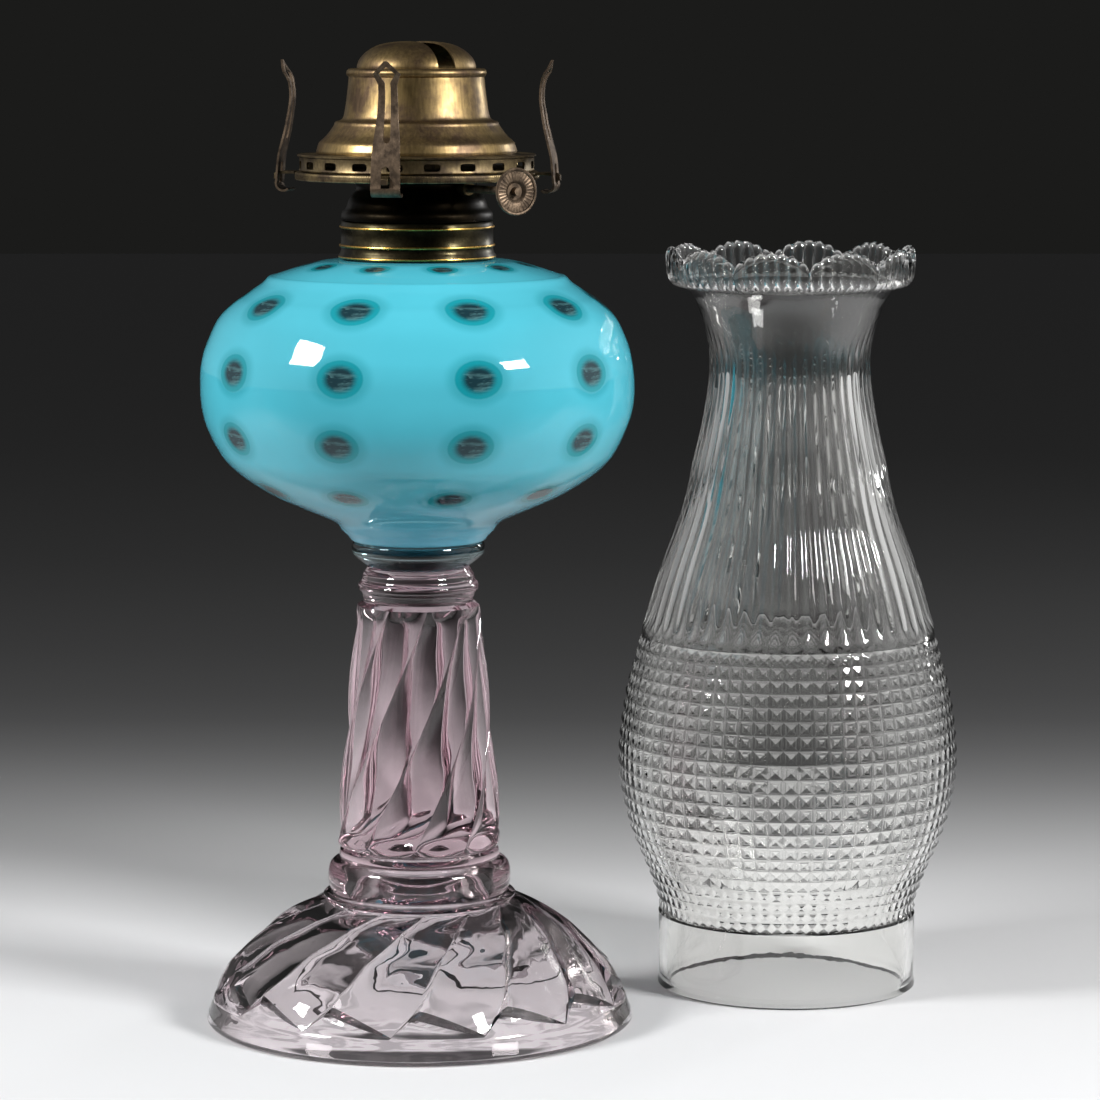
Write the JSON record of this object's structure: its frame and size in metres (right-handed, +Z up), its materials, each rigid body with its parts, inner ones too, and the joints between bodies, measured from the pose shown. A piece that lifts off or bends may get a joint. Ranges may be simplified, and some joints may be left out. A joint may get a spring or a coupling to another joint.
{
  "type": "kerosene lamp",
  "caption": "Oil lamp on a swirled glass foot with a coin-dot glass font, a brass flat-wick burner with sprung prongs, and a ribbed clear chimney beside it.",
  "frame": {"origin": "on the table plane, on the lamp's own axis, in the middle of the foot", "axes": "+Z up along the lamp's axis; -Y is the pictured front; +X is the picture's right, where the chimney stands"},
  "size_m": [0.22, 0.1573, 0.2797],
  "materials": {
    "amethyst_glass": "pressed, fire polished, clear with a faint amethyst tint",
    "wafer_glass": "clear, faint grey-green",
    "turquoise_glass": "glossy opalescent turquoise with darker clear dots",
    "clear_glass": "pressed clear glass with ribs and hobnails",
    "plaster": "matt plaster cement",
    "old_brass": "aged, satin, brown patina",
    "dark_brass": "dark olive-brown patina",
    "bronze_sheet": "dull brown patina on sprung sheet",
    "cotton": "woven cotton tape"
  },
  "bodies": {
    "base": {"pressed_foot": "amethyst_glass", "font_wafer": "wafer_glass", "font": "turquoise_glass", "collar": "dark_brass", "collar_cement": "plaster"},
    "burner_thread": {"burner_screw": "old_brass"},
    "burner": {"burner_body": "dark_brass", "burner_floor": "old_brass", "wick_tube": "old_brass", "vent_tube": "old_brass", "wheel_box": "old_brass", "shaft_sleeve": "old_brass", "gallery_rim": "old_brass", "air_plate": "old_brass", "gallery_band": "old_brass", "gallery_plate": "old_brass", "prong_arm_1": "old_brass", "prong_arm_2": "old_brass", "prong_arm_3": "old_brass", "prong_arm_4": "old_brass"},
    "prong_1": {"prong_1": "bronze_sheet"},
    "prong_2": {"prong_2": "bronze_sheet"},
    "prong_3": {"prong_3": "bronze_sheet"},
    "prong_4": {"prong_4": "bronze_sheet"},
    "deflector": {"deflector_bell": "old_brass", "deflector_cap": "old_brass"},
    "wick_drive": {"wick_shaft": "bronze_sheet", "spur_wheel_1": "bronze_sheet", "spur_wheel_2": "bronze_sheet", "spur_wheel_3": "bronze_sheet", "wick_knob": "bronze_sheet"},
    "wick": {"wick": "cotton"},
    "chimney": {"chimney": "clear_glass"}
  },
  "joints": [
    {"name": "burner_rise", "type": "slide", "parent": "base", "child": "burner_thread", "axis": [0, 0, 1], "range_m": [0, 0.0053]},
    {"name": "burner_turn", "type": "hinge", "parent": "burner_thread", "child": "burner", "pos_m": [0, 0, 0.2297], "axis": [0, 0, 1], "range_deg": [0, 900]},
    {"name": "prong_1_flex", "type": "hinge", "parent": "burner", "child": "prong_1", "pos_m": [-0.00748, -0.03919, 0.2428], "axis": [0.9823, -0.1874, 0], "range_deg": [0, 10], "stiffness_Nm_per_rad": 0.02},
    {"name": "prong_2_flex", "type": "hinge", "parent": "burner", "child": "prong_2", "pos_m": [0.03919, -0.00748, 0.2428], "axis": [0.1874, 0.9823, 0], "range_deg": [0, 10], "stiffness_Nm_per_rad": 0.02},
    {"name": "prong_3_flex", "type": "hinge", "parent": "burner", "child": "prong_3", "pos_m": [0.00748, 0.03919, 0.2428], "axis": [-0.9823, 0.1874, 0], "range_deg": [0, 10], "stiffness_Nm_per_rad": 0.02},
    {"name": "prong_4_flex", "type": "hinge", "parent": "burner", "child": "prong_4", "pos_m": [-0.03919, 0.00748, 0.2428], "axis": [-0.1874, -0.9823, 0], "range_deg": [0, 10], "stiffness_Nm_per_rad": 0.02},
    {"name": "deflector_lift", "type": "slide", "parent": "burner", "child": "deflector", "axis": [0, 0, 1], "range_m": [0, 0.05]},
    {"name": "wick_knob_turn", "type": "hinge", "parent": "burner", "child": "wick_drive", "pos_m": [0.00375, 0.00239, 0.239], "axis": [-0.5373, 0.8434, 0], "range_deg": [-236, 157]},
    {"name": "wick_travel", "type": "slide", "parent": "burner", "child": "wick", "axis": [0, 0, 1], "range_m": [-0.0118, 0.0078]},
    {"name": "chimney_lift", "type": "slide", "parent": "base", "child": "chimney", "axis": [0, 0, 1], "range_m": [0, 0.3]}
  ],
  "couplings": [
    {"joint": "burner_rise", "follows": "burner_turn", "m_per_rad": 0.00033693},
    {"joint": "wick_knob_turn", "follows": "wick_travel", "rad_per_m": 344.83}
  ]
}
